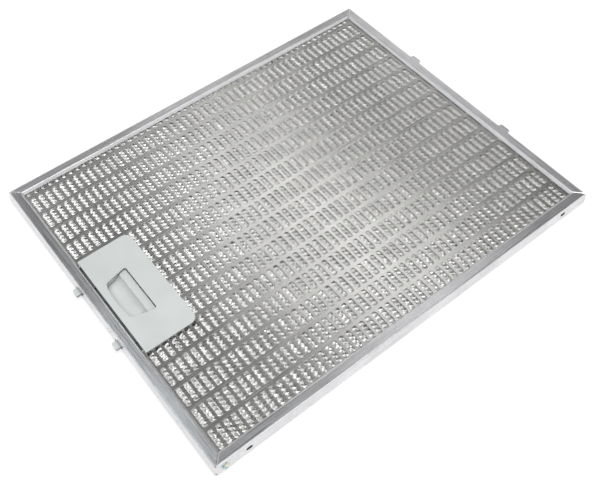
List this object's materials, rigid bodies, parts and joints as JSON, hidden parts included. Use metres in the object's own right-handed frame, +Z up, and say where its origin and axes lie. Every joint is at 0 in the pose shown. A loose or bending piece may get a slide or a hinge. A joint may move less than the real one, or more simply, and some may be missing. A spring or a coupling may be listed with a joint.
{
  "type": "cooker hood filter",
  "caption": "Flat grease filter for a cooker hood: a folded aluminium frame round a slotted sheet and layers of mesh, with a sprung finger latch at one short end.",
  "frame": {"origin": "on the plane that the filter rests on, under the middle of its outline with tongues and lugs", "axes": "+X along the length from the latch end to the lug end, +Y across the width, +Z up through the slotted face"},
  "size_m": [0.3236, 0.26, 0.009],
  "materials": {
    "strip_aluminium": "rolled satin",
    "rivet_aluminium": "bright",
    "sheet_aluminium": "rolled satin",
    "mesh_aluminium": "bright foil",
    "cover_plastic": "matte",
    "slider_plastic": "matte",
    "tray_plastic": "matte",
    "spring_steel": "bright"
  },
  "bodies": {
    "filter": {"frame": "strip_aluminium", "corner_rivet": "rivet_aluminium", "front_sheet": "sheet_aluminium", "mesh_layer_1": "mesh_aluminium", "mesh_layer_2": "mesh_aluminium", "mesh_layer_3": "mesh_aluminium", "mesh_layer_4": "mesh_aluminium", "latch_cover": "cover_plastic", "latch_tray": "tray_plastic", "latch_spring": "spring_steel"},
    "latch": {"latch_slider": "slider_plastic"}
  },
  "joints": [
    {"name": "latch_slide", "type": "slide", "parent": "filter", "child": "latch", "axis": [1, 0, 0], "range_m": [0, 0.005], "stiffness_N_per_m": 600, "springref_m": -0.004, "deforming": ["latch_spring"]}
  ]
}
